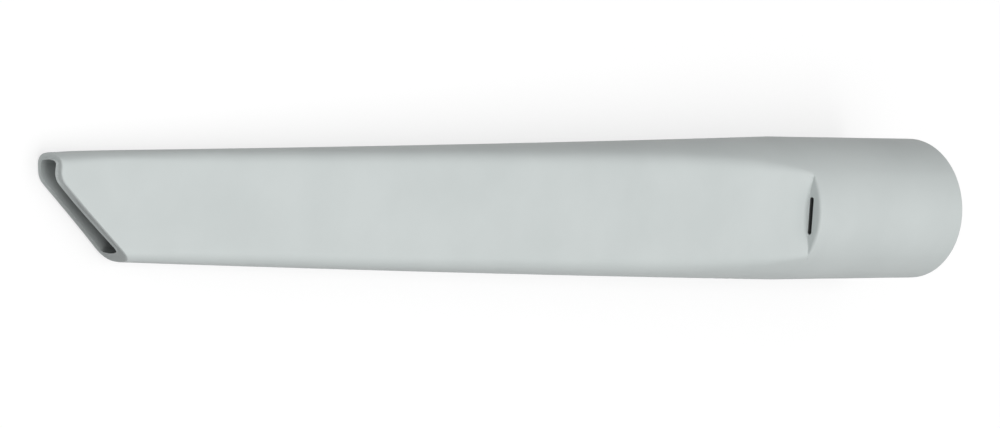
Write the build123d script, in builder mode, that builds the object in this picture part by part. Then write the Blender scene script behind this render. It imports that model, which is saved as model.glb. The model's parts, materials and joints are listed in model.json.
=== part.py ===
"""A one-piece vacuum crevice nozzle: round socket, tapered flat-sided body and slanted mouth.

It lies as it comes to rest, on the socket's edge and the lower lip of the mouth.
+X runs towards the socket, +Y across the mouth, +Z up.
"""

import os
from math import atan2, cos, radians, sin, tan

from build123d import *

# Socket that pushes over the vacuum tube
tube_diameter = 35.0
socket_wall = 1.8
socket_length = 57.0
chamber_length = 13.0
chamber_wall = 2.0
rim_round = 0.7
lead_in = 0.6

# Tapered body, trimmed above and below by a flat that sweeps out to the step
overall_length = 301.0
mouth_height = 25.5
mouth_thickness = 8.9
waist_thickness = 19.9
sweep_length = 75.0
body_wall = 2.2
mouth_edge_wall = 1.6
edge_round = 3.5
duct_edge_round = 1.0
crown_ledge = 0.1
duct_ledge = 0.3

# Step where the flats meet the socket, with a bleed slot at the foot of the upper one
step_depth = 3.5
step_wall = 2.0
step_floor_wall = 2.6
scoop_depth = 0.8
scoop_width = 19.0
slot_length = 9.7
slot_height = 1.3
slot_rise = 0.2

# Slanted mouth
nose_height = 5.4
nose_round = 4.2
slant_angle = 43.7
lip_round = 0.4
lip_inner_round = 0.3

# Distance by which a cut runs past what it cuts
clear = 3.0

# Sizes that follow
bore_radius = tube_diameter / 2
socket_radius = bore_radius + socket_wall
chamber_radius = socket_radius - chamber_wall
seat_length = socket_length - step_wall - chamber_length
step_flat = socket_radius - step_depth
waist_flat = waist_thickness / 2
mouth_flat = mouth_thickness / 2
mouth_crown = mouth_height / 2

# Places along the axis, from the rim at 0 towards the mouth
step_x = -socket_length
duct_start_x = step_x + step_wall
sweep_x = step_x - sweep_length
mouth_x = -overall_length
past_mouth_x = mouth_x - clear

# Attitude at rest: the axis leans until the lower step and the lower lip are level
lean = atan2(socket_radius - mouth_flat, overall_length - socket_length)
rim_height = socket_radius * cos(lean) + socket_length * sin(lean)
rim_forward = (overall_length * cos(lean) + (mouth_flat - socket_radius) * sin(lean)) / 2
along_axis = Vector(cos(lean), 0, sin(lean))
across_flats = Vector(-sin(lean), 0, cos(lean))
rim_centre = Vector(rim_forward, 0, rim_height)
nozzle_axis = Axis(rim_centre, along_axis)
side_view = Plane(origin=rim_centre, x_dir=along_axis, z_dir=(0, -1, 0))
mouth_plan = Plane(origin=rim_centre, x_dir=along_axis, z_dir=across_flats)


def cross_plane(x):
    """Plane across the nozzle, at x along its axis from the rim."""
    return Plane(origin=rim_centre + along_axis * x, x_dir=(0, 1, 0), z_dir=along_axis)


def tapered(x, start_x, at_start, at_mouth):
    """A size at x that changes evenly from start_x to the tip of the mouth."""
    return at_start + (at_mouth - at_start) * (start_x - x) / (start_x - mouth_x)


def flattened_cone(start_x, start_crown, start_flat, narrow_flat, end_crown, end_flat, long_round):
    """A cone from start_x to past the mouth, trimmed by two swept flats, with its long edges rounded."""
    past_crown = tapered(past_mouth_x, start_x, start_crown, end_crown)
    past_flat = tapered(past_mouth_x, sweep_x, narrow_flat, end_flat)
    past_side = start_crown + clear
    with BuildPart() as cone:
        with BuildSketch(side_view):
            Polygon(
                (start_x, 0),
                (start_x, start_crown),
                (past_mouth_x, past_crown),
                (past_mouth_x, 0),
                align=None,
            )
        revolve(axis=nozzle_axis)
        with BuildSketch(side_view):
            with BuildLine():
                flat = Line((past_mouth_x, past_flat), (sweep_x, narrow_flat))
                TangentArc(flat @ 1, (start_x, start_flat), tangent=flat % 1)
                Polyline((start_x, start_flat), (start_x, past_side), (past_mouth_x, past_side), flat @ 0)
            make_face()
            mirror(about=Plane.XZ)
        extrude(amount=past_side, both=True, mode=Mode.SUBTRACT)
        fillet(cone.edges().sort_by(SortBy.LENGTH)[-8:], long_round)
    return cone.part


body = flattened_cone(
    step_x,
    socket_radius - crown_ledge,
    step_flat,
    waist_flat,
    mouth_crown,
    mouth_flat,
    edge_round,
)
duct = flattened_cone(
    duct_start_x,
    chamber_radius - duct_ledge,
    step_flat - step_floor_wall,
    waist_flat - body_wall,
    mouth_crown - mouth_edge_wall,
    mouth_flat - body_wall,
    duct_edge_round,
)

with BuildPart() as nozzle:
    # Tapered body and socket
    add(body)
    with BuildSketch(cross_plane(step_x)):
        Circle(socket_radius)
    extrude(amount=socket_length)
    fillet(nozzle.edges().sort_by(Axis.X)[-1], rim_round)

    # Mouth: a short blunt nose, rounded into a long slant
    nose_y = mouth_crown - nose_height
    foot_y = -socket_radius
    foot_x = mouth_x + (nose_y - foot_y) / tan(radians(slant_angle))
    with BuildSketch(mouth_plan) as mouth_cut:
        with BuildLine():
            Polyline(
                (mouth_x, socket_radius),
                (mouth_x, nose_y),
                (foot_x, foot_y),
                (past_mouth_x - clear, foot_y),
                (past_mouth_x - clear, socket_radius),
                close=True,
            )
        make_face()
        fillet(mouth_cut.vertices().sort_by_distance((mouth_x, nose_y))[0], nose_round)
    extrude(amount=socket_radius, both=True, mode=Mode.SUBTRACT)
    lip = nozzle.edges(Select.NEW).filter_by(Axis(rim_centre, across_flats), reverse=True)
    fillet(lip, lip_round)

    # Hollow: tube seat with a lead-in, chamber behind the step, duct to the mouth
    with BuildSketch(cross_plane(-seat_length)):
        Circle(bore_radius)
    extrude(amount=seat_length, mode=Mode.SUBTRACT)
    rim = nozzle.faces().sort_by(Axis.X)[-1]
    chamfer(rim.inner_wires()[0].edges(), lead_in)
    with BuildSketch(cross_plane(duct_start_x)):
        Circle(chamber_radius)
    extrude(amount=chamber_length, mode=Mode.SUBTRACT)
    add(duct, mode=Mode.SUBTRACT)
    mouth_end = (rim_centre + along_axis * foot_x).X
    inner_lip = nozzle.edges(Select.NEW).filter_by_position(Axis.X, -overall_length, mouth_end)
    fillet(inner_lip, lip_inner_round)

    # Scoop along the upper flat, and the bleed slot that it leads to
    scoop_radius = ((scoop_width / 2) ** 2 + scoop_depth**2) / (2 * scoop_depth)
    scoop_floor = step_flat - scoop_depth
    with BuildSketch(cross_plane(step_x)):
        with Locations((0, scoop_floor + scoop_radius)):
            Circle(scoop_radius)
    extrude(amount=mouth_x - step_x, mode=Mode.SUBTRACT)
    with BuildSketch(cross_plane(step_x)):
        with Locations((0, scoop_floor + slot_rise + slot_height / 2)):
            SlotOverall(slot_length, slot_height)
    extrude(amount=step_wall + clear, mode=Mode.SUBTRACT)

nozzle.part.label = "nozzle"

os.makedirs("parts", exist_ok=True)
export_step(nozzle.part, "parts/nozzle.step")
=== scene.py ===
"""Looks of a one-piece rubber crevice nozzle, lying on a pale floor under soft studio light.

The nozzle is one closed skin. It is modelled in its own frame, where x runs along the axis from
the rim at 0 to the mouth at its lowest x, y runs across the mouth and z out of the slotted flat.
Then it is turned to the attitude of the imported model.
"""

import json
import logging
import math
from dataclasses import dataclass
from enum import Enum
from typing import Any, Callable

import bmesh
import bpy
from mathutils import Matrix, Vector

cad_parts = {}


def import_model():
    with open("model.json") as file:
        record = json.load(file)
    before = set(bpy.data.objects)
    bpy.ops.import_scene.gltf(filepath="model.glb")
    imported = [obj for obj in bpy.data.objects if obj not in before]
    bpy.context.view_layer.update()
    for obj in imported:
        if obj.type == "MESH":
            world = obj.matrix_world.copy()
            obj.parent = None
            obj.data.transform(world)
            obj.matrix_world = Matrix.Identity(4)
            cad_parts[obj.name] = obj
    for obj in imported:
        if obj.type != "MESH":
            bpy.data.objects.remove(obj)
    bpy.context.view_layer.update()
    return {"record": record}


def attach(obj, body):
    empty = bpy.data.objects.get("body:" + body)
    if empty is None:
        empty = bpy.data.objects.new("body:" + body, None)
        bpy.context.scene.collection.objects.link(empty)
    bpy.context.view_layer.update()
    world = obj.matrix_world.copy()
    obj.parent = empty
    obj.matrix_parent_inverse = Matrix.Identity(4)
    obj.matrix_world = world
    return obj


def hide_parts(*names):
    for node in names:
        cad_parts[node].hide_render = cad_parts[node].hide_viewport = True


MM = 0.001
BODY = "root"
NODE = "nozzle"
MOUNT = "socket"
# Mesh attribute that marks painted shade inside the tube, in the slot and on the lip, for the
# finish to read.
PAINTED_SHADE = "inside"
PHOTO_WIDTH_PX = 1000.0
ANGLE_SLACK = 1e-4

log = logging.getLogger("nozzle_scene")


def eased_above(depth: float, ease: float) -> float:
    """A depth where it is above zero, eased in over a short distance."""
    return (depth + math.hypot(depth, ease)) / 2


def held(share: float) -> float:
    """A share held between 0 and 1."""
    return min(max(share, 0.0), 1.0)


def eased(share: float) -> float:
    """A share held between 0 and 1, with a slow start and a slow end."""
    even = held(share)
    return even * even * (3 - 2 * even)


def between(start: float, end: float, share: float) -> float:
    """A value the given share of the way from a start to an end."""
    return start + (end - start) * share


class Zone(Enum):
    """Part of a quarter of a cross-section, in order from the y axis to the z axis."""

    CROWN = "crown"
    ROUND = "round"
    FLAT = "flat"


@dataclass(frozen=True)
class RingPlace:
    """One vertex's place on every ring: its zone, how far along the zone, and its quarter."""

    zone: Zone
    share: float
    side_y: int
    side_z: int


@dataclass(frozen=True)
class RingLayout:
    """How the vertices of each ring are shared out among the zones of a quarter."""

    crown_steps: int = 12
    round_steps: int = 8
    flat_steps: int = 14

    def quarter(self) -> list[tuple[Zone, float]]:
        """Share out the vertices of a quarter.

        Returns:
            Each one's zone and share, from the y axis to the z axis, both ends included.
        """
        steps = (
            (Zone.CROWN, self.crown_steps),
            (Zone.ROUND, self.round_steps),
            (Zone.FLAT, self.flat_steps),
        )
        places = [(zone, i / count) for zone, count in steps for i in range(count)]
        return places + [(Zone.FLAT, 1.0)]

    def places(self) -> list[RingPlace]:
        """Share out the vertices of a whole ring.

        Returns:
            Their places, in order of angle from the y axis towards the z axis.
        """
        quarter = self.quarter()
        rising, falling = quarter[:-1], quarter[:0:-1]
        turns = ((rising, 1, 1), (falling, -1, 1), (rising, -1, -1), (falling, 1, -1))
        return [RingPlace(zone, share, y, z) for run, y, z in turns for zone, share in run]


@dataclass(frozen=True)
class FlattenedCone:
    """A cone along the axis, trimmed above and below by a flat that sweeps out at its start."""

    start_x: float
    waist_x: float
    end_x: float
    start_crown: float
    end_crown: float
    start_flat: float
    waist_flat: float
    end_flat: float
    start_twist: float
    end_drop: float
    end_dip: float
    pinch: float
    swell: float
    swell_fade: float
    upper_rounds: tuple[tuple[float, float], ...]
    lower_rounds: tuple[tuple[float, float], ...]
    sweep_power: float = 2.3
    pinch_share: float = 0.75
    dip_share: float = 0.955
    swell_ease: float = 2.0 * MM
    swell_share: float = 0.85
    level_reach: float = 5.0 * MM
    level_ease: float = 20.0 * MM
    sag: float = 0.42 * MM
    end_lift: float = 0.39 * MM

    def share(self, x: float) -> float:
        """How far x lies from the cone's start to its end, from 0 to 1."""
        return (self.start_x - x) / (self.start_x - self.end_x)

    def round_at(self, share: float, side_z: int) -> float:
        """Radius of the long edges.

        Args:
            share: Place along the cone, from 0 at its start.
            side_z: 1 for the upper edges, -1 for the lower ones.

        Returns:
            The radius, eased between the stated ones.
        """
        rounds = self.upper_rounds if side_z > 0 else self.lower_rounds
        for (near, near_radius), (far, far_radius) in zip(rounds, rounds[1:]):
            if share <= far:
                return between(near_radius, far_radius, eased((share - near) / (far - near)))
        return rounds[-1][1]

    def crown_at(self, x: float) -> float:
        """Radius of the cone, which dips a little at the very end.

        Args:
            x: Place along the axis.

        Returns:
            The radius there.
        """
        share = self.share(x)
        dip = self.end_dip * eased((share - self.dip_share) / (1 - self.dip_share))
        return between(self.start_crown, self.end_crown, share) - dip

    def risen_at(self, x: float) -> float:
        """Distance over which the flats have risen at x: slowly near the mouth, then evenly."""
        return eased_above(x - self.end_x - self.level_reach, self.level_ease)

    def level_share(self, x: float) -> float:
        """How far the flats have risen at x, from 0 at the mouth to 1 at the waist."""
        least = self.risen_at(self.end_x)
        return (self.risen_at(x) - least) / (self.risen_at(self.waist_x) - least)

    def flat_at(self, x: float) -> float:
        """Height of the flats, which rise from the mouth and sweep out past the waist.

        Args:
            x: Place along the axis.

        Returns:
            The height there, from the axis.
        """
        height = self.waist_flat - self.end_flat
        plain = self.end_flat + height * self.level_share(x)
        sweep = self.start_flat - self.end_flat - height * self.level_share(self.start_x)
        past_waist = max(x - self.waist_x, 0.0) / (self.start_x - self.waist_x)
        return plain + sweep * past_waist**self.sweep_power

    def point(self, place: RingPlace, x: float) -> tuple[float, float]:
        """Where a ring vertex lies on the cross-section at x.

        Args:
            place: The vertex's place on the ring.
            x: Place along the axis.

        Returns:
            Its y and z.
        """
        crown, flat = self.crown_at(x), self.flat_at(x)
        radius = self.round_at(self.share(x), place.side_z)
        centre_z = flat - radius
        centre_y = math.sqrt((crown - radius) ** 2 - centre_z**2)
        tangent = math.atan2(centre_z, centre_y)
        if place.zone is Zone.CROWN:
            angle = tangent * place.share
            y, z = crown * math.cos(angle), crown * math.sin(angle)
        elif place.zone is Zone.ROUND:
            angle = tangent + (math.pi / 2 - tangent) * place.share
            y, z = centre_y + radius * math.cos(angle), centre_z + radius * math.sin(angle)
        else:
            from_edge = 1 - (1 - place.share) ** 2
            y, z = centre_y * (1 - place.share), flat - self.pinch_at(x) * from_edge
        return place.side_y * y, place.side_z * z

    def pinch_at(self, x: float) -> float:
        """How far the middle of the flats is drawn in at x, near the mouth."""
        return self.pinch * eased((self.share(x) - self.pinch_share) / (1 - self.pinch_share))

    def swell_at(self, y: float, z: float, x: float) -> float:
        """How far the upper side stands out towards the nose.

        Args:
            y: Place across the mouth.
            z: Place out of the flats.
            x: Place along the axis.

        Returns:
            The distance at that point of the cross-section.
        """
        along = eased((self.share(x) - self.swell_share) / (1 - self.swell_share))
        across = held(y / self.crown_at(x))
        below_crown = eased((1 - across) / self.swell_fade)
        return self.swell * along * across * below_crown * held(z / self.swell_ease)

    def turned(self, y: float, z: float, x: float) -> Vector:
        """A point of the cross-section, moved as the soft body is twisted, bowed and swollen there.

        Args:
            y: Its place across the mouth.
            z: Its place out of the flats.
            x: Its place along the axis.

        Returns:
            The moved point.
        """
        share = self.share(x)
        twist = self.start_twist * (1 - share)
        bow = self.end_lift * share - 4 * self.sag * share * (1 - share)
        turned_y = y * math.cos(twist) - z * math.sin(twist)
        turned_z = y * math.sin(twist) + z * math.cos(twist)
        lift = self.swell_at(y, z, x) - self.end_drop * share
        return Vector((x, turned_y + bow, turned_z + lift))


@dataclass(frozen=True)
class Mouth:
    """Outline of the mouth, seen from above: a short blunt nose rounded into a long slant."""

    tip_x: float
    nose_y: float
    nose_round: float
    slant: float
    meet_passes: int = 16

    def x_at(self, y: float) -> float:
        """Where the mouth's edge lies along the axis.

        Args:
            y: Place across the mouth.

        Returns:
            The edge's x there.
        """
        tangent = self.nose_round * math.tan((math.pi / 2 - self.slant) / 2)
        top = self.nose_y + tangent
        foot = self.nose_y - tangent * math.sin(self.slant)
        if y >= top:
            return self.tip_x
        if y > foot:
            return self.tip_x + self.nose_round - math.sqrt(self.nose_round**2 - (top - y) ** 2)
        return self.tip_x + (self.nose_y - y) / math.tan(self.slant)

    def meet(self, cone: FlattenedCone, place: RingPlace) -> float:
        """Where a long line of a cone runs out of the mouth.

        Args:
            cone: The cone whose line is followed.
            place: The line's place on the ring.

        Returns:
            The x at which the line meets the mouth's edge.
        """
        x = self.tip_x
        for _ in range(self.meet_passes):
            x = self.x_at(cone.turned(*cone.point(place, x), x).y)
        return x


@dataclass(frozen=True)
class Attitude:
    """How the nozzle lies: the rim's centre and the axis's lean from level."""

    rim: Vector
    lean: float

    @classmethod
    def from_record(cls, record: dict[str, Any], lead_in: float) -> "Attitude":
        """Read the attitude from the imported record's socket.

        Args:
            record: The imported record.
            lead_in: Length of the bore's lead-in, between its wall and the rim.

        Returns:
            The nozzle's attitude at rest.
        """
        mount = next(m for m in record["mounts"] if m["name"] == MOUNT)
        axis = Vector(mount["axis"])
        reach = mount["dims"]["length_mm"] * MM / 2 + lead_in
        return cls(Vector(mount["pos_m"]) + axis * reach, math.atan2(axis.z, axis.x))

    def matrix(self) -> Matrix:
        """The turn and move from the nozzle's own frame to the model's."""
        return Matrix.Translation(self.rim) @ Matrix.Rotation(-self.lean, 4, "Y")


class EditMesh:
    """A mesh being modelled in edit mode, with what is selected told by place."""

    def __init__(self, piece: bpy.types.Object) -> None:
        """Open a piece's mesh for editing, with nothing selected.

        Args:
            piece: The object to model. It becomes the active one.
        """
        bpy.ops.object.select_all(action="DESELECT")
        piece.select_set(True)
        bpy.context.view_layer.objects.active = piece
        bpy.ops.object.mode_set(mode="EDIT")
        bpy.ops.mesh.select_mode(type="EDGE")
        bpy.ops.mesh.select_all(action="DESELECT")
        self.piece = piece

    @staticmethod
    def close() -> None:
        """Leave edit mode."""
        bpy.ops.object.mode_set(mode="OBJECT")

    @property
    def cage(self) -> bmesh.types.BMesh:
        """The mesh as it is being edited."""
        return bmesh.from_edit_mesh(self.piece.data)

    def select_edges(self, wanted: Callable[[bmesh.types.BMEdge], bool]) -> None:
        """Select only the edges that pass a test.

        Args:
            wanted: The test.
        """
        bpy.ops.mesh.select_all(action="DESELECT")
        cage = self.cage
        for edge in cage.edges:
            if wanted(edge):
                edge.select_set(True)
        cage.select_flush_mode()
        bmesh.update_edit_mesh(self.piece.data)

    def lay_selected(self, ring: list[Vector]) -> None:
        """Lay the selected loop on a ring, in order of angle about the axis.

        Args:
            ring: The ring's points, in that order.
        """
        cage = self.cage
        loop = [vertex for vertex in cage.verts if vertex.select]
        loop.sort(key=lambda vertex: ring_angle(vertex.co))
        for vertex, point in zip(loop, ring, strict=True):
            vertex.co = point
        bmesh.update_edit_mesh(self.piece.data)

    def extrude_ring(self, ring: list[Vector]) -> None:
        """Extrude the selected loop and lay the new one on a ring."""
        bpy.ops.mesh.extrude_region_move()
        self.lay_selected(ring)

    def bevel(self, width: float, segments: int) -> None:
        """Round the selected edges."""
        bpy.ops.mesh.bevel(offset=width, offset_type="OFFSET", segments=segments, affect="EDGES")


def facing(normal: Vector, point: Vector) -> float:
    """How far a normal at a point looks away from the axis: above zero on the outside."""
    return normal.dot(Vector((0, point.y, point.z)).normalized())


def ring_angle(point: Vector) -> float:
    """Angle of a point about the axis, from just before the y axis."""
    return (math.atan2(point.z, point.y) + ANGLE_SLACK) % math.tau


@dataclass
class Nozzle:
    """The nozzle's skin: round socket, tapered body with two flats, slanted mouth and duct."""

    # Socket
    bore_radius: float = 17.5 * MM
    socket_radius: float = 19.3 * MM
    socket_length: float = 57.3 * MM
    seat_length: float = 42.0 * MM
    chamber_radius: float = 17.3 * MM
    step_wall: float = 2.0 * MM
    rim_round: float = 0.7 * MM
    lead_in: float = 0.6 * MM
    rim_segments: int = 5
    lead_in_segments: int = 2

    # Body and duct
    overall_length: float = 301.0 * MM
    mouth_crown: float = 12.75 * MM
    mouth_flat: float = 4.45 * MM
    waist_flat: float = 9.95 * MM
    sweep_length: float = 75.0 * MM
    body_wall: float = 2.2 * MM
    mouth_wall: float = 1.75 * MM
    mouth_edge_wall: float = 2.0 * MM
    twist: float = math.radians(7.0)
    rake: float = math.radians(1.3)
    rake_room: float = 0.09 * MM
    step_flat: float = 15.75 * MM
    duct_crown: float = 17.0 * MM
    duct_flat: float = 13.2 * MM
    duct_round: float = 1.1 * MM
    long_rounds: tuple[tuple[float, float], ...] = (
        (0.0, 2.2 * MM),
        (0.025, 3.4 * MM),
        (0.08, 5.0 * MM),
        (0.2, 4.8 * MM),
        (0.4, 4.0 * MM),
        (0.8, 3.4 * MM),
        (0.92, 2.6 * MM),
    )

    # Mouth
    body_pinch: float = 0.25 * MM
    duct_pinch: float = 0.65 * MM
    body_swell: float = 1.05 * MM
    body_swell_fade: float = 0.17
    duct_swell: float = 0.5 * MM
    duct_swell_fade: float = 0.08
    crown_dip: float = 0.3 * MM
    nose_upper_round: float = 3.6 * MM
    nose_lower_round: float = 2.5 * MM
    nose_height: float = 6.55 * MM
    nose_round: float = 4.4 * MM
    slant: float = math.radians(43.1)
    lip_round: float = 0.55 * MM
    lip_inner_round: float = 0.1 * MM
    lip_dish: float = 0.5 * MM
    lip_dish_share: float = 0.74
    mouth_drop: float = 0.3 * MM
    lip_segments: int = 5
    lip_inner_segments: int = 3

    # Step, scoop and slot
    scoop_depth: float = 0.95 * MM
    scoop_half_width: float = 9.1 * MM
    scoop_power: float = 2.6
    scoop_offset: float = 0.8 * MM
    scoop_ease: float = 0.15 * MM
    step_edge_round: float = 0.9 * MM
    step_foot_round: float = 0.15 * MM
    step_fade_start: float = 9.6 * MM
    step_fade_end: float = 10.8 * MM
    step_fade_reach: float = 2.4 * MM
    step_angles: tuple[float, ...] = (0.0, 30.0, 60.0, 90.0)
    foot_share: float = 0.2
    faded_foot_share: float = 0.8
    edge_share: float = 0.75
    faded_edge_share: float = 0.15
    slot_length: float = 10.1 * MM
    slot_height: float = 1.3 * MM
    slot_rise: float = 0.3 * MM
    slot_offset: float = -0.25 * MM
    slot_end_share: float = 0.49
    slot_end_segments: int = 6

    # Modelling
    body_shares: tuple[float, ...] = (
        (1.0, 0.992, 0.97, 0.92, 0.82, 0.7, 0.58, 0.46, 0.37, 0.3, 0.26, 0.225)
        + (0.19, 0.16, 0.135, 0.112, 0.092, 0.074, 0.058, 0.044, 0.032, 0.022, 0.0135)
    )
    duct_shares: tuple[float, ...] = (
        (0.0, 0.008, 0.05, 0.1, 0.15, 0.2, 0.25, 0.4, 0.55, 0.7, 0.85, 0.96, 0.99, 1.0)
    )
    holding_gap: float = 1.2 * MM
    merge_gap: float = 0.002 * MM
    wall_tilt: float = 0.3
    hollow_tilt: float = 0.15
    smooth_angle: float = math.radians(38)

    # Painted shade inside and at the lip
    lip_reach: float = 1.0 * MM
    # Painted shade depths from 0 to 1: darkest in the slot, deep in the hollow, lighter at the
    # nose, and on the lip away from the nose.
    slot_painted_shade: float = 1.0
    duct_painted_shade: float = 0.55
    nose_painted_shade: float = 0.3
    nose_shade_reach: float = 40.0 * MM
    lip_painted_shade: float = 0.33
    lip_shade_length: float = 6.0 * MM

    def __post_init__(self) -> None:
        """Work out the cones, the mouth and the ring layout from the sizes."""
        self.step_x = -self.socket_length
        self.tip_x = -self.overall_length
        self.duct_x = self.step_x + self.step_wall
        self.waist_x = self.step_x - self.sweep_length
        self.places = RingLayout().places()
        duct_rounds = ((0.0, self.duct_round), (1.0, self.duct_round))
        self.body = FlattenedCone(
            start_x=self.step_x,
            waist_x=self.waist_x,
            end_x=self.tip_x,
            start_crown=self.socket_radius,
            end_crown=self.mouth_crown,
            start_flat=self.step_flat,
            waist_flat=self.waist_flat,
            end_flat=self.mouth_flat,
            start_twist=self.twist,
            end_drop=0.0,
            end_dip=self.crown_dip,
            pinch=self.body_pinch,
            swell=self.body_swell,
            swell_fade=self.body_swell_fade,
            upper_rounds=self.long_rounds + ((1.0, self.nose_upper_round),),
            lower_rounds=self.long_rounds + ((1.0, self.nose_lower_round),),
        )
        self.duct = FlattenedCone(
            start_x=self.duct_x,
            waist_x=self.waist_x,
            end_x=self.tip_x,
            start_crown=self.duct_crown,
            end_crown=self.mouth_crown - self.mouth_edge_wall,
            start_flat=self.duct_flat,
            waist_flat=self.waist_flat - self.body_wall,
            end_flat=self.mouth_flat - self.mouth_wall,
            start_twist=self.twist,
            end_drop=self.mouth_drop,
            end_dip=0.0,
            pinch=self.duct_pinch,
            swell=self.duct_swell,
            swell_fade=self.duct_swell_fade,
            upper_rounds=duct_rounds,
            lower_rounds=duct_rounds,
        )
        self.mouth = Mouth(
            tip_x=self.tip_x,
            nose_y=self.mouth_crown + self.body.end_lift - self.nose_height,
            nose_round=self.nose_round,
            slant=self.slant,
        )

    def raked(self, point: Vector) -> Vector:
        """A point moved along the axis as the socket and the step are raked.

        Args:
            point: The point, which moves less the nearer it is to the waist.

        Returns:
            The moved point.
        """
        past_waist = held((point.x - self.waist_x) / self.sweep_length)
        shift = math.tan(self.rake) * point.y + self.rake_room
        return point - Vector((shift * past_waist, 0, 0))

    def body_point(self, place: RingPlace, x: float) -> tuple[float, float]:
        """A point of the body's outside, with the scoop in the upper flat.

        Args:
            place: The point's place on the ring.
            x: Place along the axis.

        Returns:
            Its y and z, before the twist.
        """
        y, z = self.body.point(place, x)
        if place.side_z > 0 and place.zone is not Zone.CROWN:
            from_middle = abs(y - self.scoop_offset) / self.scoop_half_width
            floor = self.step_flat - self.scoop_depth * (1 - from_middle**self.scoop_power)
            taken = eased_above(self.body.flat_at(x) - floor, self.scoop_ease)
            z -= taken * (place.share if place.zone is Zone.ROUND else 1.0)
        return y, z

    def body_ring(self, share: float) -> list[Vector]:
        """A ring round the body.

        Args:
            share: Place on each long line, from 0 at the step to 1 at the mouth's edge.

        Returns:
            The ring's points.
        """
        ring = []
        for place in self.places:
            x = self.step_x + (self.mouth.meet(self.body, place) - self.step_x) * share
            ring.append(self.body.turned(*self.body_point(place, x), x))
        return ring

    def duct_ring(self, share: float) -> list[Vector]:
        """A ring round the duct.

        Args:
            share: Place on each long line, from 0 at the chamber to 1 at the mouth's edge.

        Returns:
            The ring's points.
        """
        ring = []
        for place in self.places:
            x = self.duct_x + (self.mouth.meet(self.duct, place) - self.duct_x) * share
            ring.append(self.duct.turned(*self.duct.point(place, x), x))
        return ring

    def lip_ring(self) -> list[Vector]:
        """A ring along the mouth's lip, dished a little below its edges.

        Returns:
            The ring's points, nearer to the lip's inner edge than to its outer one.
        """
        edges = zip(self.body_ring(1.0), self.duct_ring(1.0))
        dish = Vector((self.lip_dish, 0, 0))
        return [outer.lerp(inner, self.lip_dish_share) + dish for outer, inner in edges]

    def socket_point(self, place: RingPlace) -> tuple[float, float]:
        """The point of the socket's edge that stands over a point of the step's foot.

        Args:
            place: The point's place on the ring.

        Returns:
            Its y and z, before the twist.
        """
        y, z = self.body_point(place, self.step_x)
        if place.zone is Zone.CROWN:
            return y, z
        return y, place.side_z * math.sqrt(self.socket_radius**2 - y**2)

    def step_fade(self, place: RingPlace, y: float) -> float:
        """How far the step fades into the flat.

        Args:
            place: The place on the ring.
            y: The same place's distance across the mouth.

        Returns:
            A share, from 0 along most of the step to 1 at its ends.
        """
        if place.zone is Zone.CROWN:
            return 0.0
        return eased((abs(y) - self.step_fade_start) / (self.step_fade_end - self.step_fade_start))

    def step_rings(self) -> list[list[Vector]]:
        """Rings over the step: its rounded foot, then its rounded edge on the socket.

        Returns:
            The rings, from the body to the socket.
        """
        turns = [math.radians(angle) for angle in self.step_angles]
        foot_rings: list[list[Vector]] = [[] for _ in turns]
        edge_rings: list[list[Vector]] = [[] for _ in turns]
        for place in self.places:
            y, foot_z = self.body_point(place, self.step_x)
            edge_z = self.socket_point(place)[1]
            height = abs(edge_z - foot_z)
            fade = self.step_fade(place, y)
            plain_rise = min(self.step_foot_round, self.foot_share * height)
            foot_reach = between(self.step_foot_round, self.step_fade_reach, fade)
            foot_rise = between(plain_rise, self.faded_foot_share * height, fade)
            edge_share = between(self.edge_share, self.faded_edge_share, fade)
            edge_round = min(self.step_edge_round, edge_share * height)
            for ring, turn in zip(foot_rings, turns):
                x = self.step_x - foot_reach * (1 - math.sin(turn))
                foot_y, z = self.body_point(place, x)
                z += place.side_z * foot_rise * (1 - math.cos(turn))
                ring.append(self.body.turned(foot_y, z, x))
            for ring, turn in zip(edge_rings, turns):
                x = self.step_x + edge_round * (1 - math.cos(turn))
                z = edge_z - place.side_z * edge_round * (1 - math.sin(turn))
                ring.append(self.body.turned(y, z, self.step_x) + Vector((x - self.step_x, 0, 0)))
        return foot_rings + edge_rings

    def round_ring(self, x: float, radius: float) -> list[Vector]:
        """A circular ring of the socket, lined up with the step's rings.

        Args:
            x: Place along the axis.
            radius: The ring's radius.

        Returns:
            The ring's points.
        """
        scale = radius / self.socket_radius
        edge = [self.body.turned(*self.socket_point(place), self.step_x) for place in self.places]
        return [Vector((x, point.y * scale, point.z * scale)) for point in edge]

    def rings(self) -> list[list[Vector]]:
        """All rings: from the lip along the body, over the rim, and back through the duct.

        Returns:
            The rings in that order.
        """
        gap = self.holding_gap
        outside = [self.body_ring(share) for share in self.body_shares]
        socket = [
            self.round_ring(x, self.socket_radius)
            for x in (self.step_x + gap, self.step_x / 2, -self.rim_round - gap, 0.0)
        ]
        bore = [
            self.round_ring(x, self.bore_radius)
            for x in (0.0, -self.lead_in - gap, -self.seat_length)
        ]
        chamber = [
            self.round_ring(x, self.chamber_radius)
            for x in (-self.seat_length, self.duct_x)
        ]
        duct = [self.duct_ring(share) for share in self.duct_shares]
        rings = [self.lip_ring()] + outside + self.step_rings() + socket + bore + chamber + duct
        return [[self.raked(point) for point in ring] for ring in rings]

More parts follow.
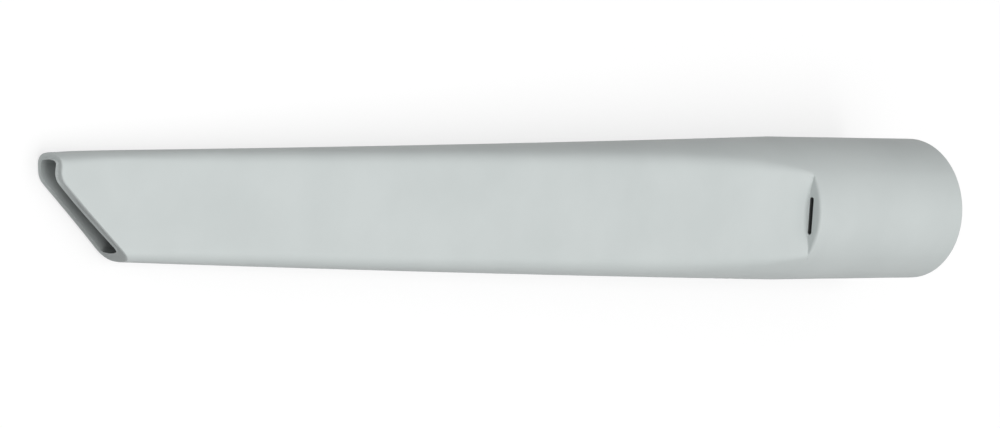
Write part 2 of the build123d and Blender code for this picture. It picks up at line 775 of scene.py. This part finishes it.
    def skin(self) -> bpy.types.Object:
        """Extrude the skin ring by ring and join its two ends at the lip.

        The step has no height along the crowns, so its rings meet there and are merged.

        Returns:
            The skin, in the nozzle's own frame.
        """
        rings = self.rings()
        bpy.ops.object.select_all(action="DESELECT")
        bpy.ops.mesh.primitive_circle_add(
            vertices=len(self.places),
            radius=self.mouth_crown,
            fill_type="NOTHING",
            rotation=(0, math.pi / 2, 0),
        )
        piece = bpy.context.object
        piece.name = "nozzle_skin"
        piece.data.name = piece.name
        bpy.ops.object.transform_apply(rotation=True)
        edit = EditMesh(piece)
        bpy.ops.mesh.select_all(action="SELECT")
        edit.lay_selected(rings[0])
        for ring in rings[1:]:
            edit.extrude_ring(ring)
        bpy.ops.mesh.select_all(action="SELECT")
        bpy.ops.mesh.remove_doubles(threshold=self.merge_gap)
        edit.select_edges(lambda edge: edge.is_boundary)
        bpy.ops.mesh.bridge_edge_loops()
        bpy.ops.mesh.select_all(action="SELECT")
        bpy.ops.mesh.normals_make_consistent(inside=False)
        self.round_edges(edit)
        bpy.ops.mesh.select_all(action="SELECT")
        bpy.ops.mesh.normals_make_consistent(inside=False)
        edit.close()
        return piece

    def at_mouth(self, point: Vector) -> bool:
        """Whether a point lies on the outline of the mouth."""
        return abs(point.x - self.mouth.x_at(point.y)) < self.merge_gap

    def at_rim(self, point: Vector) -> bool:
        """Whether a point lies in the plane of the rim."""
        return abs(point.x - self.raked(Vector((0, point.y, point.z))).x) < self.merge_gap

    def on_lip(self, edge: bmesh.types.BMEdge, side: int) -> bool:
        """Whether an edge runs along the mouth's lip.

        Args:
            edge: The edge to test.
            side: 1 for the lip's outer edge, -1 for its inner edge.

        Returns:
            True where it does.
        """
        walls = [face for face in edge.link_faces if abs(face.normal.x) < self.wall_tilt]
        edged = len(walls) == 1 and all(self.at_mouth(vertex.co) for vertex in edge.verts)
        return edged and side * facing(walls[0].normal, edge.verts[0].co) > 0

    def on_rim(self, edge: bmesh.types.BMEdge, radius: float) -> bool:
        """Whether an edge runs round the rim.

        Args:
            edge: The edge to test.
            radius: Distance from the axis at which it has to run.

        Returns:
            True where it does.
        """
        points = [vertex.co for vertex in edge.verts]
        return all(self.at_rim(p) and abs(p.yz.length - radius) < self.merge_gap for p in points)

    def round_edges(self, edit: EditMesh) -> None:
        """Round the lips of the mouth and the rim, and cut the bore's lead-in.

        Args:
            edit: The skin, closed and open for editing.
        """
        edit.select_edges(lambda edge: self.on_lip(edge, 1))
        edit.bevel(self.lip_round, self.lip_segments)
        edit.select_edges(lambda edge: self.on_lip(edge, -1))
        edit.bevel(self.lip_inner_round, self.lip_inner_segments)
        edit.select_edges(lambda edge: self.on_rim(edge, self.socket_radius))
        edit.bevel(self.rim_round, self.rim_segments)
        edit.select_edges(lambda edge: self.on_rim(edge, self.bore_radius))
        edit.bevel(self.lead_in, self.lead_in_segments)

    def slot_cutter(self) -> bpy.types.Object:
        """A bar with rounded ends, the size of the bleed slot, through the step's wall.

        Returns:
            The bar, in the nozzle's own frame.
        """
        reach = self.step_wall + self.holding_gap
        floor = self.step_flat - self.scoop_depth + self.slot_rise
        bpy.ops.object.select_all(action="DESELECT")
        bpy.ops.mesh.primitive_cube_add(
            size=1,
            location=(
                self.step_x + self.step_wall / 2,
                self.slot_offset,
                floor + self.slot_height / 2,
            ),
            scale=(reach, self.slot_length, self.slot_height),
        )
        cutter = bpy.context.object
        # Its place is applied first, so that it turns about the nozzle's axis
        bpy.ops.object.transform_apply(location=True, rotation=True, scale=True)
        cutter.rotation_euler.x = self.twist
        bpy.ops.object.transform_apply(location=True, rotation=True, scale=True)
        edit = EditMesh(cutter)
        edit.select_edges(lambda edge: abs(edge.verts[0].co.x - edge.verts[1].co.x) > reach / 2)
        edit.bevel(self.slot_height * self.slot_end_share, self.slot_end_segments)
        edit.close()
        return cutter

    def cut_slot(self, piece: bpy.types.Object) -> None:
        """Cut the bleed slot through the upper step, into the chamber.

        Args:
            piece: The closed skin, in the nozzle's own frame.
        """
        cutter = self.slot_cutter()
        bpy.ops.object.select_all(action="DESELECT")
        piece.select_set(True)
        bpy.context.view_layer.objects.active = piece
        cut = piece.modifiers.new("slot", "BOOLEAN")
        cut.operation = "DIFFERENCE"
        cut.solver = "EXACT"
        cut.object = cutter
        bpy.ops.object.modifier_apply(modifier=cut.name)
        bpy.data.objects.remove(cutter)

    def mark_painted_shade(self, piece: bpy.types.Object) -> None:
        """Mark painted shade on the inner walls, in the slot and on the lip, from 0 to 1, for the
        finish to read.

        The inner walls' painted shade deepens from the rim to the end of the tube's seat and is
        lighter at the nose.
        The slot gets the darkest painted shade, and the lip's painted shade deepens away from the
        nose.

        Args:
            piece: The modelled nozzle, still in its own frame.
        """
        mesh = piece.data
        inside = mesh.attributes.new(PAINTED_SHADE, "FLOAT", "CORNER")
        for face in mesh.polygons:
            centre = face.center
            wall = abs(face.normal.x) < self.wall_tilt
            hollow = wall and facing(face.normal, centre) < -self.hollow_tilt
            step_x = self.raked(Vector((self.step_x, centre.y, centre.z))).x
            behind_step = step_x < centre.x < self.duct_x
            in_slot = wall and behind_step and centre.yz.length < self.chamber_radius
            lip = not wall and centre.x - self.mouth.x_at(centre.y) < self.lip_reach
            for corner in face.loop_indices:
                place = mesh.vertices[mesh.loops[corner].vertex_index].co
                # Share down the slant from the nose, over which the lip's painted shade sets in.
                below_nose = held((self.mouth.nose_y - place.y) / self.lip_shade_length)
                depth = held(-place.x / self.seat_length)
                past_nose = max(below_nose, held((place.x - self.tip_x) / self.nose_shade_reach))
                hollow_shade = between(self.nose_painted_shade, self.duct_painted_shade, past_nose)
                # Painted shade: darkest in the slot, deepening into the hollow, and on the lip away
                # from the nose.
                if in_slot:
                    inside.data[corner].value = self.slot_painted_shade
                elif hollow:
                    inside.data[corner].value = depth * hollow_shade
                elif lip:
                    inside.data[corner].value = below_nose * self.lip_painted_shade

    def build(self, attitude: Attitude, finish: bpy.types.Material) -> bpy.types.Object:
        """Model the nozzle, turn it to its attitude and dress it.

        Args:
            attitude: How the nozzle lies.
            finish: The rubber's material.

        Returns:
            The finished piece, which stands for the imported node.
        """
        piece = self.skin()
        self.cut_slot(piece)
        self.mark_painted_shade(piece)
        piece.matrix_world = attitude.matrix()
        bpy.ops.object.transform_apply(location=True, rotation=True, scale=True)
        bpy.ops.object.shade_smooth_by_angle(angle=self.smooth_angle)
        piece.data.materials.append(finish)
        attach(piece, BODY)
        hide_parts(NODE)
        return piece


class NodeSheet:
    """A material's or world's node tree, with short calls to add and join nodes."""

    def __init__(self, owner: bpy.types.Material | bpy.types.World) -> None:
        """Start an empty tree.

        Args:
            owner: The material or world that the tree belongs to.
        """
        owner.use_nodes = True
        self.tree = owner.node_tree
        self.tree.nodes.clear()

    def add(self, kind: str, **settings: Any) -> bpy.types.Node:
        """Add a node.

        Args:
            kind: Blender's name of the node's type.
            settings: Values for the node's own properties.

        Returns:
            The node.
        """
        node = self.tree.nodes.new(kind)
        for name, value in settings.items():
            setattr(node, name, value)
        return node

    def join(self, output: bpy.types.NodeSocket, entry: bpy.types.NodeSocket) -> None:
        """Link an output to an input."""
        self.tree.links.new(output, entry)


@dataclass(frozen=True)
class RubberFinish:
    """Light grey moulded rubber with a satin skin, with painted shade mixed in where the mesh marks
    it.
    """

    pale: tuple[float, float, float, float] = (0.600, 0.642, 0.636, 1.0)
    deep: tuple[float, float, float, float] = (0.570, 0.612, 0.606, 1.0)
    # Painted shade colour, mixed in inside the tube, in the slot and on the lip.
    inside: tuple[float, float, float, float] = (0.118, 0.125, 0.124, 1.0)
    tint_start: float = 0.35
    tint_end: float = 0.65
    mottle_per_metre: float = 45.0
    mottle_detail: float = 5.0
    grain_per_metre: float = 2600.0
    grain_detail: float = 2.0
    grain_bump: float = 0.06
    grain_depth: float = 0.05 * MM
    smooth_roughness: float = 0.46
    dull_roughness: float = 0.58
    specular: float = 0.4

    def material(self) -> bpy.types.Material:
        """Build the material.

        Returns:
            The rubber's material, on Object coordinates.
        """
        made = bpy.data.materials.new("satin_grey_rubber")
        sheet = NodeSheet(made)
        place = sheet.add("ShaderNodeTexCoord")
        mottle = sheet.add("ShaderNodeTexNoise")
        mottle.inputs["Scale"].default_value = self.mottle_per_metre
        mottle.inputs["Detail"].default_value = self.mottle_detail
        grain = sheet.add("ShaderNodeTexNoise")
        grain.inputs["Scale"].default_value = self.grain_per_metre
        grain.inputs["Detail"].default_value = self.grain_detail
        tint = sheet.add("ShaderNodeValToRGB")
        tint.color_ramp.elements[0].position = self.tint_start
        tint.color_ramp.elements[0].color = self.deep
        tint.color_ramp.elements[1].position = self.tint_end
        tint.color_ramp.elements[1].color = self.pale
        hollow = sheet.add("ShaderNodeAttribute", attribute_name=PAINTED_SHADE)
        # Mixes the painted shade colour over the rubber's tint by the marked attribute.
        colour = sheet.add("ShaderNodeMixRGB")
        colour.inputs["Color2"].default_value = self.inside
        gloss = sheet.add("ShaderNodeMapRange")
        gloss.inputs["To Min"].default_value = self.smooth_roughness
        gloss.inputs["To Max"].default_value = self.dull_roughness
        bump = sheet.add("ShaderNodeBump")
        bump.inputs["Strength"].default_value = self.grain_bump
        bump.inputs["Distance"].default_value = self.grain_depth
        shader = sheet.add("ShaderNodeBsdfPrincipled")
        shader.inputs["Specular IOR Level"].default_value = self.specular
        output = sheet.add("ShaderNodeOutputMaterial")
        sheet.join(place.outputs["Object"], mottle.inputs["Vector"])
        sheet.join(place.outputs["Object"], grain.inputs["Vector"])
        sheet.join(mottle.outputs["Fac"], tint.inputs["Fac"])
        sheet.join(hollow.outputs["Fac"], colour.inputs["Fac"])
        sheet.join(tint.outputs["Color"], colour.inputs["Color1"])
        sheet.join(colour.outputs["Color"], shader.inputs["Base Color"])
        sheet.join(grain.outputs["Fac"], gloss.inputs["Value"])
        sheet.join(gloss.outputs["Result"], shader.inputs["Roughness"])
        sheet.join(grain.outputs["Fac"], bump.inputs["Height"])
        sheet.join(bump.outputs["Normal"], shader.inputs["Normal"])
        sheet.join(shader.outputs["BSDF"], output.inputs["Surface"])
        return made


@dataclass(frozen=True)
class FloorFinish:
    """Plain white floor, which looks paler than it is lit and keeps the shadow."""

    colour: tuple[float, float, float, float] = (0.3, 0.3, 0.3, 1.0)
    lift: float = 0.72

    def material(self) -> bpy.types.Material:
        """Build the material.

        Returns:
            The floor's material.
        """
        made = bpy.data.materials.new("white_floor")
        sheet = NodeSheet(made)
        rays = sheet.add("ShaderNodeLightPath")
        seen = sheet.add("ShaderNodeMath", operation="MAXIMUM")
        mirrored = sheet.add("ShaderNodeMath", operation="MAXIMUM")
        lit = sheet.add("ShaderNodeBsdfDiffuse")
        lit.inputs["Color"].default_value = self.colour
        glow = sheet.add("ShaderNodeEmission")
        strength = sheet.add("ShaderNodeMath", operation="MULTIPLY")
        strength.inputs[1].default_value = self.lift
        both = sheet.add("ShaderNodeAddShader")
        output = sheet.add("ShaderNodeOutputMaterial")
        sheet.join(rays.outputs["Is Glossy Ray"], mirrored.inputs[0])
        sheet.join(rays.outputs["Is Transmission Ray"], mirrored.inputs[1])
        sheet.join(rays.outputs["Is Camera Ray"], seen.inputs[0])
        sheet.join(mirrored.outputs[0], seen.inputs[1])
        sheet.join(seen.outputs[0], strength.inputs[0])
        sheet.join(strength.outputs[0], glow.inputs["Strength"])
        sheet.join(lit.outputs["BSDF"], both.inputs[0])
        sheet.join(glow.outputs["Emission"], both.inputs[1])
        sheet.join(both.outputs["Shader"], output.inputs["Surface"])
        return made


@dataclass(frozen=True)
class Lamp:
    """A square soft light that points at the floor's middle."""

    name: str
    place: tuple[float, float, float]
    side: float
    power: float

    def build(self) -> None:
        """Add the lamp and turn it."""
        light = bpy.data.lights.new(self.name, "AREA")
        light.shape = "SQUARE"
        light.size = self.side
        light.energy = self.power
        lamp = bpy.data.objects.new(self.name, light)
        bpy.context.scene.collection.objects.link(lamp)
        lamp.location = self.place
        lamp.rotation_euler = Vector(self.place).to_track_quat("Z", "Y").to_euler()


@dataclass(frozen=True)
class Studio:
    """White floor, soft lamps and a pale surround that is brighter above."""

    floor_side: float = 8.0
    lamps: tuple[Lamp, ...] = (
        Lamp(name="overhead", place=(0.0, -0.38, 1.45), side=1.4, power=14.5),
        Lamp(name="mouth_side", place=(-0.55, 0.12, 0.06), side=0.11, power=0.36),
    )
    surround: tuple[float, float, float, float] = (1.0, 1.0, 1.0, 1.0)
    horizon_strength: float = 0.24
    zenith_strength: float = 0.6
    seen_strength: float = 1.0

    def floor(self) -> None:
        """Add the floor under the nozzle."""
        bpy.ops.object.select_all(action="DESELECT")
        bpy.ops.mesh.primitive_plane_add(size=self.floor_side)
        floor = bpy.context.object
        floor.name = "floor"
        floor.data.materials.append(FloorFinish().material())

    def world(self) -> None:
        """Light the scene from all round, and show the camera white where there is no object."""
        world = bpy.data.worlds.new("surround")
        sheet = NodeSheet(world)
        place = sheet.add("ShaderNodeTexCoord")
        height = sheet.add("ShaderNodeSeparateXYZ")
        sky = sheet.add("ShaderNodeMapRange")
        sky.inputs["To Min"].default_value = self.horizon_strength
        sky.inputs["To Max"].default_value = self.zenith_strength
        rays = sheet.add("ShaderNodeLightPath")
        level = sheet.add("ShaderNodeMapRange")
        level.inputs["To Max"].default_value = self.seen_strength
        background = sheet.add("ShaderNodeBackground")
        background.inputs["Color"].default_value = self.surround
        output = sheet.add("ShaderNodeOutputWorld")
        sheet.join(place.outputs["Generated"], height.inputs["Vector"])
        sheet.join(height.outputs["Z"], sky.inputs["Value"])
        sheet.join(sky.outputs["Result"], level.inputs["To Min"])
        sheet.join(rays.outputs["Is Camera Ray"], level.inputs["Value"])
        sheet.join(level.outputs["Result"], background.inputs["Strength"])
        sheet.join(background.outputs["Background"], output.inputs["Surface"])
        bpy.context.scene.world = world

    def build(self) -> None:
        """Set up the floor, the surround, the lamps and the view transform."""
        self.floor()
        self.world()
        for lamp in self.lamps:
            lamp.build()
            log.info("lamp %s: %.1f W", lamp.name, lamp.power)
        bpy.context.scene.view_settings.view_transform = "Standard"


@dataclass(frozen=True)
class PhotoCamera:
    """The photograph's camera, placed from the rim's centre in the nozzle's own frame."""

    focal_px: float = 4674.6
    sensor_mm: float = 36.0
    distance: float = 1300.0 * MM
    yaw: float = math.radians(43.0)
    aside: float = -114.36 * MM
    above: float = -1.64 * MM

    def build(self, attitude: Attitude) -> bpy.types.Object:
        """Add the camera and make it the scene's.

        Args:
            attitude: How the nozzle lies.

        Returns:
            The camera.
        """
        axis = Vector((1, 0, 0))
        up = Vector((0, 1, 0))
        out_of_flat = Vector((0, 0, 1))
        right = axis * math.cos(self.yaw) + out_of_flat * math.sin(self.yaw)
        back = out_of_flat * math.cos(self.yaw) - axis * math.sin(self.yaw)
        place = right * self.aside + up * self.above + back * self.distance
        turn = Matrix((right, up, back)).transposed().to_4x4()
        lens = bpy.data.cameras.new("photo_camera")
        lens.sensor_width = self.sensor_mm
        lens.lens = self.focal_px * self.sensor_mm / PHOTO_WIDTH_PX
        camera = bpy.data.objects.new("photo_camera", lens)
        bpy.context.scene.collection.objects.link(camera)
        camera.matrix_world = attitude.matrix() @ Matrix.Translation(place) @ turn
        bpy.context.scene.camera = camera
        return camera


def main() -> None:
    """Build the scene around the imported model."""
    logging.basicConfig(level=logging.INFO, format="%(name)s: %(message)s")
    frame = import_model()
    nozzle = Nozzle()
    attitude = Attitude.from_record(frame["record"], nozzle.lead_in)
    piece = nozzle.build(attitude, RubberFinish().material())
    log.info("piece %s: %d faces", piece.name, len(piece.data.polygons))
    Studio().build()
    camera = PhotoCamera().build(attitude)
    log.info("camera %s: %.1f mm lens", camera.name, camera.data.lens)


if __name__ == "__main__":
    main()
